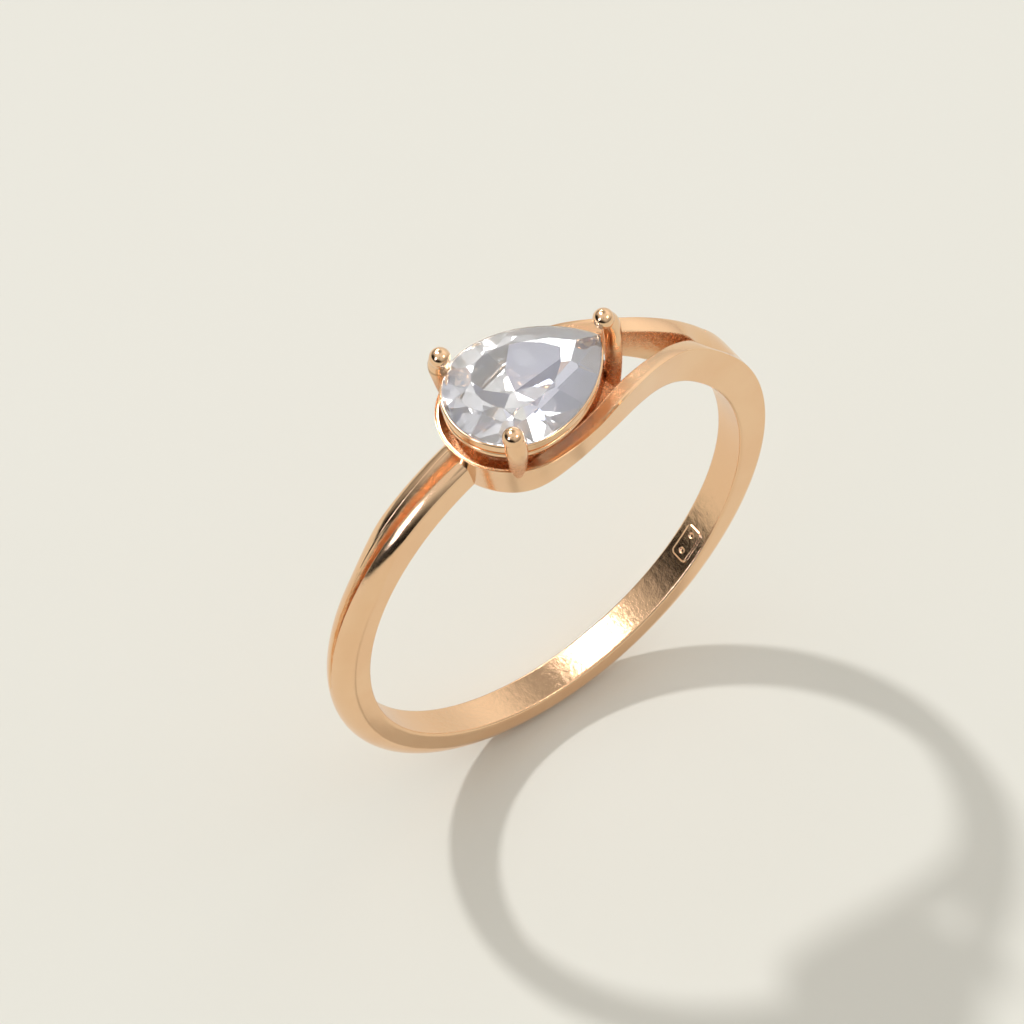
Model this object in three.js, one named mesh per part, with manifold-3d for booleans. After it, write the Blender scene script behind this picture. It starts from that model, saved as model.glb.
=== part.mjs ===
// Bypass solitaire engagement ring: a grooved shank whose two strands part and pass either side
// of an east-west pear stone, held in a two-rail basket by three ball-tipped claws.
// Millimetres. The origin is the centre of the finger hole, +Y runs along the finger,
// +Z points up to the stone and +X towards the pointed tip of the stone.
import * as THREE from "three";
import { mergeVertices } from "three/addons/utils/BufferGeometryUtils.js";
import { ConvexGeometry } from "three/addons/geometries/ConvexGeometry.js";
import Module from "manifold-3d";

const wasm = await Module();
wasm.setup();

// ---- Driving dimensions -------------------------------------------------------------------------

const BORE_R = 8.65; // finger hole, 17.3 mm across
const SOLDER_GAP = 0.024; // clearance at every soldered seam
const DEG = Math.PI / 180;

// Shank
const SHANK_WIDTH = 1.42;
const SHANK_THICKNESS = 1.36; // bore to crown, round the bottom
const SHOULDER_THICKNESS = 1.42; // bore to crown, where the arms leave the right shoulder
const SIDE_HEIGHT = 0.68; // flat part of each side face, round the bottom
const HEAD_SIDE_HEIGHT = 1.12; // the same where the strands meet the head
const BORE_EASE = 0.07; // softened edges of the finger hole
const SHOULDER_FROM = -20; // degrees from +X, where the right shoulder starts to thicken
const STRAND_FROM = 160; // the same where the left shoulder's side faces start to grow
const LEFT_JOINT = 117.5; // degrees from +X: the shank meets the arms
const RIGHT_JOINT = 38;

// Groove between the two strands of the left shoulder
const GROOVE_START = 183; // degrees from +X, where it begins as a hairline
const GROOVE_DEPTH = 0.42;
const GROOVE_WIDTH = 0.5;
const GROOVE_HAIRLINE = 0.08; // its share of that width at the start

// Hallmark cartouche pressed into the finger hole
const MARK_ANGLE = -38.9;
const MARK_LENGTH = 1.45;
const MARK_WIDTH = 0.8;
const MARK_DEPTH = 0.07;

// Stone
const STONE_LENGTH = 6.57;
const STONE_WIDTH = 4.94;
const STONE_LEFT = -4.06; // x of the round end
const GIRDLE_RISE = 2.35; // girdle above the top of the finger hole
const GIRDLE_THICKNESS = 0.12;
const CROWN_HEIGHT = 0.74;
const PAVILION_DEPTH = 2.12;
const TABLE_SHARE = 0.58; // table to girdle
const BEZEL_SHARE = 0.82; // corners of the crown's middle row, to girdle
const BEZEL_RISE = 0.54; // their share of the crown's height
const PAVILION_SHARE = 0.5; // corners of the pavilion's middle row, to girdle
const PAVILION_DROP = 0.53; // their share of the pavilion's depth

// Basket rails
const SEAT_DROP = 0.2; // seat's upper edge below the girdle
const SEAT_HEIGHT = 0.95;
const SEAT_LIP = 0.07; // how far the seat stands proud of the girdle
const SEAT_TAPER = 0.36; // how far its foot draws in
const SEAT_WALL = 0.46; // at its foot
const SEAT_GROOVE_FROM = 0.36; // share of the seat's height, counted down from its top
const SEAT_GROOVE_TO = 0.48;
const SEAT_GROOVE_EDGE = 0.06;
const SEAT_GROOVE_DEPTH = 0.1;
const SEAT_EDGE_SHARE = 0.3; // wall at its upper edge, to the wall at its foot
const BASE_RISE = 0.77; // upper edge above the top of the finger hole
const BASE_HEIGHT = 0.55;
const BASE_INSET = 0.54; // its round end inside the stone's, all round
const BASE_REACH = 0.27; // its pointed end beyond the stone's tip
const BASE_DRAFT = 0.08; // how far its foot draws in
const BASE_WALL = 0.45;

// Claws
const BALL_R = 0.41;
const CLAW_NECK_R = 0.37;
const CLAW_FOOT_R = 0.24;
const CLAW_RISE = 0.86; // ball centre above the girdle
const CLAW_REACH = 0.24; // ball centre beyond the girdle
const SIDE_CLAW_ANGLE = 125; // from the tip's direction, round the centre of the round end
const SIDE_CLAW_TURN = 6; // how far the foot stands round towards the tip
const SIDE_CLAW_FOOT = 0.35; // foot above the top of the finger hole
const SIDE_CLAW_LEAN = 0.34; // how far the foot draws in
const TIP_CLAW_FOOT = 0.19; // foot above the wall of the finger hole
const TIP_CLAW_REACH = 0.18; // ball centre beyond the tip
const TIP_CLAW_LEAN = 0.2; // how far the foot stands further out
const TIP_CLAW_SWAY = 0.3; // how far the foot leans to the front arm

// Arms
const RIM_RISE = 1.05; // upper edge above the top of the finger hole, round the left end
const RIM_REACH = 0.26; // the same edge outside the stone in plan
const ARM_FLARE = 0.5; // the basket side leans out by this much round the left end
const ARM_WIDTH = 0.78;
const ARM_FALL = 0.38; // from the upper edge down to the inner one, round the left end
const ARM_TOE = 0.1; // how far the inner wall's foot stands inside its top
const CREST_SKEW = 0.08; // how far the inner edge runs ahead of the outer one
const STRAND_TUCK = 0.06; // the arms start this far under the shank's crown
const SHOULDER_TUCK = 0.04;
const VALLEY_DEPTH = 0.22; // the V between the arms where they close on the right shoulder

// Stations round the left end: [degrees round the centre of the round end, share of the flare,
// drop below the rim].
const END_RUN = [
  [162, 1, 0.42],
  [147, 1, 0.1],
  [118, 0.55, 0],
  [90, 0.1, 0],
];
// Stations from there to the right shoulder: [degrees from +X, share of the way out from the
// shank's side to the rim, upper edge above the finger hole, share of the arm width, fall].
const FRONT_RUN = [
  [85.97, 0.8515, 1.024, 0.98, 0.3],
  [75.94, 0.589, 1.226, 0.94, 0.12],
  [64.5, 0.262, 1.41, 0.86, VALLEY_DEPTH],
  [54.2, 0.084, 1.608, 0.86, VALLEY_DEPTH],
];
const BACK_RUN = [
  [85.83, 0.975, 0.975, 0.98, 0.3],
  [75.76, 0.777, 1.11, 0.94, 0.12],
  [63.84, 0.421, 1.333, 0.86, VALLEY_DEPTH],
  [54.0, 0.1436, 1.559, 0.86, VALLEY_DEPTH],
];

// ---- Shared geometry ----------------------------------------------------------------------------

const roundCentre = STONE_LEFT + STONE_WIDTH / 2; // centre of the round end of the pear
const stoneTip = STONE_LEFT + STONE_LENGTH;
const girdleTop = BORE_R + GIRDLE_RISE;
const rimTop = BORE_R + RIM_RISE;

// A manifold solid from any closed three.js geometry.
function solidOf(geometry) {
  const bare = geometry.index ? geometry.toNonIndexed() : geometry.clone();
  for (const name of Object.keys(bare.attributes)) {
    if (name !== "position") bare.deleteAttribute(name);
  }
  const merged = mergeVertices(bare, 1e-4);
  return new wasm.Manifold(
    new wasm.Mesh({
      numProp: 3,
      vertProperties: merged.attributes.position.array,
      triVerts: new Uint32Array(merged.index.array),
    }),
  );
}

// A flat-shaded three.js geometry from a manifold solid.
function geometryOf(solid) {
  const mesh = solid.getMesh();
  const geometry = new THREE.BufferGeometry();
  geometry.setAttribute("position", new THREE.BufferAttribute(mesh.vertProperties, 3));
  geometry.setIndex(new THREE.BufferAttribute(mesh.triVerts, 1));
  const flat = geometry.toNonIndexed();
  flat.computeVertexNormals();
  return flat;
}

// Extrudes a section along z from 0 to 1 and sends each point (x, y, along) to its place.
function sweep(section, steps, place) {
  const geometry = new THREE.ExtrudeGeometry(section, {
    depth: 1,
    steps,
    bevelEnabled: false,
    curveSegments: 10,
  });
  const position = geometry.attributes.position;
  for (let i = 0; i < position.count; i++) {
    const p = place(position.getX(i), position.getY(i), position.getZ(i));
    position.setXYZ(i, p.x, p.y, p.z);
  }
  return solidOf(geometry);
}

// A point of the ring at a radius and an angle from +X, y along the finger.
function onRing(radius, degrees, y) {
  return new THREE.Vector3(
    radius * Math.cos(degrees * DEG),
    y,
    radius * Math.sin(degrees * DEG),
  );
}

// A point on the wall of the finger hole above x, y.
function onBore(x, y) {
  return new THREE.Vector3(x, y, Math.sqrt(BORE_R * BORE_R - x * x));
}

function polygon(points) {
  return new THREE.Shape(points.map(([x, y]) => new THREE.Vector2(x, y)));
}

// The plan of a pear: a half circle on the left and two arcs that meet at the tip.
function pearShape(left, tip, width) {
  const r = width / 2;
  const centre = left + r;
  const reach = tip - centre;
  const arc = (reach * reach + r * r) / width;
  const turn = Math.asin(reach / arc);
  const up = Math.PI / 2;
  const shape = new THREE.Shape();
  shape.absarc(centre, 0, r, up, 3 * up, false);
  shape.absarc(centre, arc - r, arc, -up, -up + turn, false);
  shape.absarc(centre, r - arc, arc, up - turn, up, false);
  return shape;
}

// Pear outline points, the tip first, spaced for gem facets.
function pearPoints(left, tip, width, count) {
  const curve = pearShape(left, tip, width);
  const points = curve.getSpacedPoints(count * 4).slice(0, -1);
  const tipIndex = points.reduce((best, p, i) => (p.x > points[best].x ? i : best), 0);
  return Array.from({ length: count }, (_, i) => points[(tipIndex + i * 4) % points.length]);
}

// A tapered pear ring. Each profile row gives [height, outer growth, wall].
function pearRing(left, tip, width, rows) {
  const stack = rows.map(([z, grow, wall]) => ({ z, grow, wall }));
  const at = (s, key) => {
    const f = s * (stack.length - 1);
    const i = Math.min(Math.floor(f), stack.length - 2);
    return THREE.MathUtils.lerp(stack[i][key], stack[i + 1][key], f - i);
  };
  const centre = left + width / 2;
  const unit = pearShape(left, tip, width);
  const layer = (inset) =>
    sweep(unit, rows.length - 1, (x, y, s) => {
      const size = width / 2 + at(s, "grow") - inset * at(s, "wall");
      const k = size / (width / 2);
      return new THREE.Vector3(centre + (x - centre) * k, y * k, at(s, "z"));
    });
  const through = sweep(unit, rows.length - 1, (x, y, s) => {
    const k = (width / 2 + at(s, "grow") - at(s, "wall")) / (width / 2);
    const spread = (s - 0.5) * 2 * SOLDER_GAP;
    return new THREE.Vector3(centre + (x - centre) * k, y * k, at(s, "z") + spread);
  });
  return layer(0).subtract(through);
}

// ---- Shank --------------------------------------------------------------------------------------

// Goes round from the right joint, under the finger, up to the left joint.
const shankSweep = 360 - (LEFT_JOINT - RIGHT_JOINT);
const seamAngle = (SOLDER_GAP / BORE_R / DEG) * 0.5;

function shankAngle(s) {
  return THREE.MathUtils.lerp(RIGHT_JOINT - seamAngle, RIGHT_JOINT - shankSweep + seamAngle, s);
}

// Smooth 0 to 1 as the shank nears the head on the left, and the shoulder on the right.
function nearHead(degrees) {
  return THREE.MathUtils.smoothstep(-degrees, 360 - STRAND_FROM, 360 - LEFT_JOINT);
}
function nearShoulder(degrees) {
  return THREE.MathUtils.smoothstep(degrees, SHOULDER_FROM, RIGHT_JOINT);
}

function sideHeight(degrees) {
  const rise = Math.max(nearHead(degrees), nearShoulder(degrees));
  return THREE.MathUtils.lerp(SIDE_HEIGHT, HEAD_SIDE_HEIGHT, rise);
}
function crownHeight(degrees) {
  return THREE.MathUtils.lerp(SHANK_THICKNESS, SHOULDER_THICKNESS, nearShoulder(degrees));
}

// How far the groove has opened, 0 before its start and 1 at the left joint.
function grooveOpen(degrees) {
  const along = (GROOVE_START - 360 - degrees) / (GROOVE_START - LEFT_JOINT);
  return THREE.MathUtils.clamp(along, 0, 1);
}

function makeShank() {
  // x is the share of the half width. y runs 0 to 1 up the side face and 1 to 2 over the dome.
  // The three rows nearest the crown are the bottom of the groove, its lips and a blend.
  const half = SHANK_WIDTH / 2;
  const ease = BORE_EASE / half;
  const [lipRow, blendRow] = [0.2, 0.4];
  const flank = [72, 54, 36].map((a) => [Math.sin(a * DEG), 1 + Math.cos(a * DEG)]);
  const right = [...flank, [blendRow, 1.85], [lipRow, 1.9]];
  const left = right.map(([x, y]) => [-x, y]).reverse();
  const section = polygon([
    [-1 + ease, 0],
    [1 - ease, 0],
    [1, BORE_EASE / SIDE_HEIGHT],
    [1, 1],
    ...right,
    [0, 1.7],
    ...left,
    [-1, 1],
    [-1, BORE_EASE / SIDE_HEIGHT],
  ]);
  const innerFlank = half * flank.at(-1)[0];
  return sweep(section, 84, (x, y, s) => {
    const a = shankAngle(s);
    const side = sideHeight(a);
    if (y <= 1) return onRing(BORE_R + y * side, a, x * half);
    const open = grooveOpen(a);
    const lip = (GROOVE_WIDTH / 2) * THREE.MathUtils.lerp(GROOVE_HAIRLINE, 1, open);
    const row = Math.abs(x);
    let across = x * half;
    if (row <= blendRow) {
      across = Math.sign(x) * (row <= lipRow ? lip : (lip + innerFlank) / 2);
    }
    const dome = Math.sqrt(1 - (across / half) ** 2);
    const cut = row < lipRow / 2 ? GROOVE_DEPTH * open : 0;
    return onRing(BORE_R + side + dome * (crownHeight(a) - side) - cut, a, across);
  });
}

// An oblong with clipped corners pressed radially into the finger hole.
function makeMark() {
  const w = MARK_WIDTH / 2;
  const l = MARK_LENGTH / 2;
  const corner = w / 2;
  const shape = polygon([
    [w, corner - l],
    [w, l - corner],
    [corner, l],
    [-corner, l],
    [-w, l - corner],
    [-w, corner - l],
    [-corner, -l],
    [corner, -l],
  ]);
  return sweep(shape, 1, (x, y, s) => {
    const a = MARK_ANGLE + y / BORE_R / DEG;
    return onRing(BORE_R + THREE.MathUtils.lerp(MARK_DEPTH, -MARK_DEPTH, s), a, x);
  });
}

// ---- Arms ---------------------------------------------------------------------------------------

// Four edge curves with matching stations carry an arm from the left joint to the right one.
const jointSide = SHANK_WIDTH / 2;
const midSeam = SOLDER_GAP / 2;
const leftEdge = LEFT_JOINT - seamAngle;
const rightEdge = RIGHT_JOINT + seamAngle;
const leftCrown = BORE_R + SHANK_THICKNESS - STRAND_TUCK;
const rightCrown = BORE_R + SHOULDER_THICKNESS - SHOULDER_TUCK;
const rimR = STONE_WIDTH / 2 + RIM_REACH; // plan radius of the rim round the pear's round end
const bend = (a, r, z) =>
  new THREE.Vector3(roundCentre + r * Math.cos(a * DEG), r * Math.sin(a * DEG), z);

// Edges of one arm with y counted positive on its own side of the ring.
function armEdges(run) {
  const outerTop = [onRing(leftCrown, leftEdge, jointSide)];
  const outerFoot = [onRing(BORE_R, leftEdge, jointSide)];
  const innerTop = [onRing(leftCrown, leftEdge, midSeam)];
  const innerFoot = [onRing(BORE_R, leftEdge, midSeam)];
  // Round the left end the rim follows the stone, and the side leans in towards the finger.
  for (const [a, lean, dip] of END_RUN) {
    const foot = bend(a, rimR - ARM_FLARE * lean, 0);
    const inFoot = bend(a, rimR - ARM_WIDTH - ARM_TOE, 0);
    outerTop.push(bend(a, rimR, rimTop - dip));
    outerFoot.push(onBore(foot.x, foot.y));
    innerTop.push(bend(a, rimR - ARM_WIDTH, rimTop - dip - ARM_FALL));
    innerFoot.push(onBore(inFoot.x, inFoot.y));
  }
  for (const [a, out, rise, widthShare, fall] of run) {
    const y = THREE.MathUtils.lerp(jointSide, rimR, out);
    const inner = y - ARM_WIDTH * widthShare;
    const top = onRing(BORE_R + rise, a, y);
    outerTop.push(top);
    outerFoot.push(onBore(top.x, y));
    innerTop.push(new THREE.Vector3(top.x + CREST_SKEW, inner, top.z - fall));
    innerFoot.push(onBore(top.x, inner));
  }
  outerTop.push(onRing(rightCrown, rightEdge, jointSide));
  outerFoot.push(onRing(BORE_R, rightEdge, jointSide));
  innerTop.push(onRing(rightCrown - VALLEY_DEPTH, rightEdge, midSeam));
  innerFoot.push(onRing(BORE_R, rightEdge, midSeam));
  return [outerFoot, innerFoot, innerTop, outerTop];
}

function makeArm(run, side) {
  const curves = armEdges(run).map((points) => {
    const placed = points.map((p) => new THREE.Vector3(p.x, p.y * side, p.z));
    return new THREE.CatmullRomCurve3(placed, false, "centripetal");
  });
  // x runs from the -Y side to the +Y side, so the outer edge is at 0 in front and 1 behind.
  const section = polygon([
    [0.06, 0],
    [0.94, 0],
    [1, 0.06],
    [1, 0.94],
    [0.93, 1],
    [0.07, 1],
    [0, 0.94],
    [0, 0.06],
  ]);
  return sweep(section, 56, (x, y, s) => {
    const [outerFoot, innerFoot, innerTop, outerTop] = curves.map((c) => c.getPoint(s));
    const inward = side < 0 ? x : 1 - x;
    const foot = outerFoot.lerp(innerFoot, inward);
    const top = outerTop.lerp(innerTop, inward);
    return foot.lerp(top, y);
  });
}

// ---- Head ---------------------------------------------------------------------------------------

// The faceted stone as the hull of its corners. grow widens it all round for cutting seats.
function makeStone(grow) {
  const left = STONE_LEFT - grow;
  const tip = stoneTip + grow;
  const width = STONE_WIDTH + 2 * grow;
  const ring = (share, z, count, offset) =>
    pearPoints(left, tip, width, count * 2)
      .filter((_, i) => i % 2 === offset)
      .map(
        (p) =>
          new THREE.Vector3(roundCentre + (p.x - roundCentre) * share, p.y * share, z),
      );
  const girdleFoot = girdleTop - GIRDLE_THICKNESS;
  const points = [
    ...ring(TABLE_SHARE, girdleTop + CROWN_HEIGHT + grow, 8, 0),
    ...ring(BEZEL_SHARE, girdleTop + CROWN_HEIGHT * BEZEL_RISE + grow, 8, 1),
    ...ring(1, girdleTop + grow, 32, 0),
    ...ring(1, girdleFoot - grow, 32, 0),
    ...ring(PAVILION_SHARE, girdleFoot - PAVILION_DEPTH * PAVILION_DROP - grow, 8, 1),
    new THREE.Vector3(roundCentre, 0, girdleFoot - PAVILION_DEPTH - grow),
  ];
  return solidOf(new ConvexGeometry(points));
}

// Tapered bearing under the girdle, with a fine groove run round its outside.
function makeSeatRail() {
  const top = girdleTop - SEAT_DROP;
  const row = (down, cut) => [
    top - SEAT_HEIGHT * down,
    SEAT_LIP - SEAT_TAPER * down - cut,
    SEAT_WALL * THREE.MathUtils.lerp(SEAT_EDGE_SHARE, 1, down) - cut,
  ];
  return pearRing(STONE_LEFT, stoneTip, STONE_WIDTH, [
    row(1, 0),
    row(SEAT_GROOVE_TO + SEAT_GROOVE_EDGE, 0),
    row(SEAT_GROOVE_TO, SEAT_GROOVE_DEPTH),
    row(SEAT_GROOVE_FROM, 0),
    row(0, 0),
  ]);
}

function makeBaseRail(grow) {
  const width = STONE_WIDTH - 2 * BASE_INSET;
  const top = BORE_R + BASE_RISE;
  const wall = BASE_WALL + 2 * grow;
  return pearRing(STONE_LEFT + BASE_INSET, stoneTip + BASE_REACH, width, [
    [top - BASE_HEIGHT - grow, grow - BASE_DRAFT, wall],
    [top + grow, grow, wall],
  ]);
}

// A ball-tipped claw from its foot to its ball. grow widens it for cutting its seats.
function makeClaw(ball, foot, grow) {
  const length = ball.distanceTo(foot);
  const profile = [
    [0, -grow],
    [CLAW_FOOT_R + grow, -grow],
    [THREE.MathUtils.lerp(CLAW_FOOT_R, CLAW_NECK_R, 0.6) + grow, length * 0.5],
    [CLAW_NECK_R + grow, length - BALL_R],
  ];
  for (let a = -30; a < 90; a += 20) {
    profile.push([
      (BALL_R + grow) * Math.cos(a * DEG),
      length + (BALL_R + grow) * Math.sin(a * DEG),
    ]);
  }
  profile.push([0, length + BALL_R + grow]);
  const points = profile.map(([r, h]) => new THREE.Vector2(r, h));
  const geometry = new THREE.LatheGeometry(points, 20);
  const up = new THREE.Vector3(0, 1, 0);
  const lean = new THREE.Quaternion().setFromUnitVectors(up, ball.clone().sub(foot).normalize());
  geometry.applyQuaternion(lean).translate(foot.x, foot.y, foot.z);
  return solidOf(geometry);
}

const clawTop = girdleTop + CLAW_RISE;
const tipFootX = stoneTip + TIP_CLAW_REACH + TIP_CLAW_LEAN;
const tipFoot = onBore(tipFootX, -TIP_CLAW_SWAY);
tipFoot.z += TIP_CLAW_FOOT;
const claws = {
  prong_tip: [new THREE.Vector3(stoneTip + TIP_CLAW_REACH, 0, clawTop), tipFoot],
};
for (const [name, side] of [["prong_front", -1], ["prong_back", 1]]) {
  const r = STONE_WIDTH / 2 + CLAW_REACH;
  const footAngle = side * (SIDE_CLAW_ANGLE - SIDE_CLAW_TURN);
  claws[name] = [
    bend(side * SIDE_CLAW_ANGLE, r, clawTop),
    bend(footAngle, r - SIDE_CLAW_LEAN, BORE_R + SIDE_CLAW_FOOT),
  ];
}

// ---- Assembly -----------------------------------------------------------------------------------

const bore = new THREE.CylinderGeometry(BORE_R, BORE_R, 4 * STONE_WIDTH, 120);
const fingerHole = solidOf(bore);

const seatCutter = makeStone(SOLDER_GAP);
const baseCutter = makeBaseRail(SOLDER_GAP);
const clawSeats = Object.values(claws)
  .map(([ball, foot]) => makeClaw(ball, foot, SOLDER_GAP))
  .reduce((all, one) => all.add(one));

const solids = {
  shank: makeShank().subtract(makeMark()),
  front_arm: makeArm(FRONT_RUN, -1).subtract(fingerHole).subtract(baseCutter).subtract(clawSeats),
  back_arm: makeArm(BACK_RUN, 1).subtract(fingerHole).subtract(baseCutter).subtract(clawSeats),
  base_rail: makeBaseRail(0).subtract(clawSeats),
  seat_rail: makeSeatRail().subtract(seatCutter).subtract(clawSeats),
  stone: makeStone(0),
};
for (const [name, [ball, foot]] of Object.entries(claws)) {
  solids[name] = makeClaw(ball, foot, 0).subtract(seatCutter);
}

const roseGold = { color: 0xd9ac86, roughness: 0.16, metalness: 1 };
const clearStone = { color: 0xeef1f6, roughness: 0.02, metalness: 0 };

const ring = new THREE.Group();
for (const [name, solid] of Object.entries(solids)) {
  const finish = name === "stone" ? clearStone : roseGold;
  const mesh = new THREE.Mesh(geometryOf(solid), new THREE.MeshStandardMaterial(finish));
  mesh.name = name;
  ring.add(mesh);
}

export default ring;
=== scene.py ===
"""A bypass solitaire ring in rose gold with an east-west pear stone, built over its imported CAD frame.

Sizes in the classes are millimetres and become metres when a mesh is made. The origin is the
centre of the finger hole, +Y runs along the finger, +Z points up to the stone and +X towards the
pointed tip of the stone.
"""

import logging
import math
from dataclasses import dataclass, field
from enum import Enum
from typing import Sequence

import bmesh
import bpy
import numpy as np
from mathutils import Matrix, Vector


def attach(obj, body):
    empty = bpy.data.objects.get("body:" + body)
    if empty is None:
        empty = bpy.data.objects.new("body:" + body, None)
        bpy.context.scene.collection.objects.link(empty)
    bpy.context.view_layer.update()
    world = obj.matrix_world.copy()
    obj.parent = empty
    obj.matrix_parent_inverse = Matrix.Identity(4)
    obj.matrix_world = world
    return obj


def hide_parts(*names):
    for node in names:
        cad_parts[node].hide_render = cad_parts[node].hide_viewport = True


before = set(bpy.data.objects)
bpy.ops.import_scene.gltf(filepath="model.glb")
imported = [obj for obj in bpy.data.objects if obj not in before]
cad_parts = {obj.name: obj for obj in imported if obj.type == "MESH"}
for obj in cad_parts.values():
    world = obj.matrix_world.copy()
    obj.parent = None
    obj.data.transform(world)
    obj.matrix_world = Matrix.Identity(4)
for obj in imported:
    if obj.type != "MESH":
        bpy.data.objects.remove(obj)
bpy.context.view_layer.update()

MM = 0.001
UP = np.array([0.0, 0.0, 1.0])
LOG = logging.getLogger("ring")

SPACING_POWER = 0.75  # of the distance between key rows, so that close rows keep their say
CORNER_ROOM = 0.46  # share of the shorter edge that a rounded corner may take
ROUND_SHARE = 0.8  # share of that room for the round itself
HOLD_SHARE = 0.5  # from the round to its support point, as a share of its radius
MERGE_WITHIN = 1e-7  # metres


# ---- Small tools --------------------------------------------------------------------------------


def srgb(hex_colour: str, alpha: float = 1.0) -> tuple[float, float, float, float]:
    """Turns a display colour into linear light.

    Args:
        hex_colour: six hex digits, such as "e0b18d".
        alpha: the fourth value, kept as it is.

    Returns:
        Linear red, green, blue and alpha.
    """
    values = [int(hex_colour[i : i + 2], 16) / 255 for i in (0, 2, 4)]
    linear = [v / 12.92 if v <= 0.04045 else ((v + 0.055) / 1.055) ** 2.4 for v in values]
    return (linear[0], linear[1], linear[2], alpha)


def add_node(
    tree: bpy.types.NodeTree, kind: str, settings: dict | None = None, **inputs: object
) -> bpy.types.Node:
    """Adds one node with its settings, values and links.

    Args:
        tree: the node tree to add to.
        kind: the node's type name.
        settings: attributes of the node itself.
        **inputs: socket values or source sockets. A name is the socket's with underscores for
            spaces, and a name like i0 is the socket's place.

    Returns:
        The new node.
    """
    node = tree.nodes.new(kind)
    for key, value in (settings or {}).items():
        setattr(node, key, value)
    for key, value in inputs.items():
        place = int(key[1:]) if key[0] == "i" and key[1:].isdigit() else key.replace("_", " ")
        socket = node.inputs[place]
        if isinstance(value, bpy.types.NodeSocket):
            tree.links.new(value, socket)
        else:
            socket.default_value = value
    return node


def smoothstep(x: float, low: float, high: float) -> float:
    """Rises smoothly from 0 at low to 1 at high."""
    t = min(max((x - low) / (high - low), 0.0), 1.0)
    return t * t * (3 - 2 * t)


def lerp(a: float | np.ndarray, b: float | np.ndarray, t: float) -> float | np.ndarray:
    """The value a share t of the way from a to b."""
    return a + (b - a) * t


def on_ring(radius: float, degrees: float, y: float) -> np.ndarray:
    """A point of the ring at a radius and an angle from +X, y along the finger."""
    a = math.radians(degrees)
    return np.array([radius * math.cos(a), y, radius * math.sin(a)])


def through_rows(keys: np.ndarray, count: int) -> np.ndarray:
    """Runs a smooth curve through rows of numbers.

    Args:
        keys: one row for each station, with the place in its first three columns.
        count: how many rows to return.

    Returns:
        The rows in between, evenly spaced along the first three columns.
    """
    steps = np.linalg.norm(np.diff(keys[:, :3], axis=0), axis=1) ** SPACING_POWER
    at = np.concatenate([[0.0], np.cumsum(steps)])
    slope = np.gradient(keys, at, axis=0)
    want = np.linspace(0, at[-1], count)
    left = np.clip(np.searchsorted(at, want, side="right") - 1, 0, len(at) - 2)
    span = (at[left + 1] - at[left])[:, None]
    t = ((want - at[left])[:, None]) / span
    return (
        (2 * t**3 - 3 * t**2 + 1) * keys[left]
        + (t**3 - 2 * t**2 + t) * span * slope[left]
        + (3 * t**2 - 2 * t**3) * keys[left + 1]
        + (t**3 - t**2) * span * slope[left + 1]
    )


def eased_corner(
    before: np.ndarray, corner: np.ndarray, after: np.ndarray, radius: float, steps: int
) -> list[np.ndarray]:
    """Rounds one corner of a section, with a support point either side to keep the flats flat.

    Args:
        before: a point on the edge that arrives.
        corner: the corner itself.
        after: a point on the edge that leaves.
        radius: how far from the corner the rounding starts.
        steps: points on the round itself.

    Returns:
        The points, in order.
    """
    back, on = before - corner, after - corner
    room = CORNER_ROOM * min(np.linalg.norm(back), np.linalg.norm(on))
    r = min(radius, room * ROUND_SHARE)
    back, on = back / np.linalg.norm(back), on / np.linalg.norm(on)
    a, b = corner + back * r, corner + on * r
    hold = min(r * HOLD_SHARE, room - r)
    round_ = [
        a * (1 - t) ** 2 + corner * 2 * t * (1 - t) + b * t**2 for t in np.linspace(0, 1, steps)
    ]
    return [a + back * hold, *round_, b + on * hold]


def face_out(mesh: bpy.types.Mesh, crease: float) -> None:
    """Turns a mesh's faces outwards and shades it smooth between its sharp edges.

    Args:
        mesh: a closed mesh.
        crease: edges sharper than this many degrees stay sharp, and 0 keeps every face flat.
    """
    work = bmesh.new()
    work.from_mesh(mesh)
    bmesh.ops.recalc_face_normals(work, faces=work.faces)
    work.to_mesh(mesh)
    work.free()
    mesh.polygons.foreach_set("use_smooth", [crease > 0] * len(mesh.polygons))
    if crease > 0:
        mesh.set_sharp_from_angle(angle=math.radians(crease))


def mesh_piece(name: str, points: np.ndarray, faces: Sequence, crease: float) -> bpy.types.Object:
    """Makes an object from points in millimetres, with its faces turned outwards.

    Args:
        name: the object's name.
        points: one row for each vertex.
        faces: tuples of vertex numbers.
        crease: edges sharper than this many degrees stay sharp.

    Returns:
        The object, at the origin.
    """
    mesh = bpy.data.meshes.new(name)
    mesh.from_pydata((np.asarray(points) * MM).tolist(), [], [tuple(f) for f in faces])
    face_out(mesh, crease)
    piece = bpy.data.objects.new(name, mesh)
    bpy.context.scene.collection.objects.link(piece)
    return piece


def loft(rings: np.ndarray) -> tuple[np.ndarray, list]:
    """Skins a stack of closed sections that have the same number of points, and caps both ends.

    Args:
        rings: section, point and coordinate.

    Returns:
        The points and the faces.
    """
    count, around = rings.shape[:2]
    faces = []
    for i in range(count - 1):
        j = i + 1
        for k in range(around):
            m = (k + 1) % around
            faces.append((i * around + k, i * around + m, j * around + m, j * around + k))
    faces.append(tuple(range(around - 1, -1, -1)))
    faces.append(tuple(range((count - 1) * around, count * around)))
    return rings.reshape(-1, 3), faces


def point_attribute(piece: bpy.types.Object, name: str, values: np.ndarray) -> None:
    """Stores one number for each vertex under a name that materials and trees can read."""
    layer = piece.data.attributes.new(name, "FLOAT", "POINT")
    layer.data.foreach_set("value", np.asarray(values, np.float32))


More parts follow.
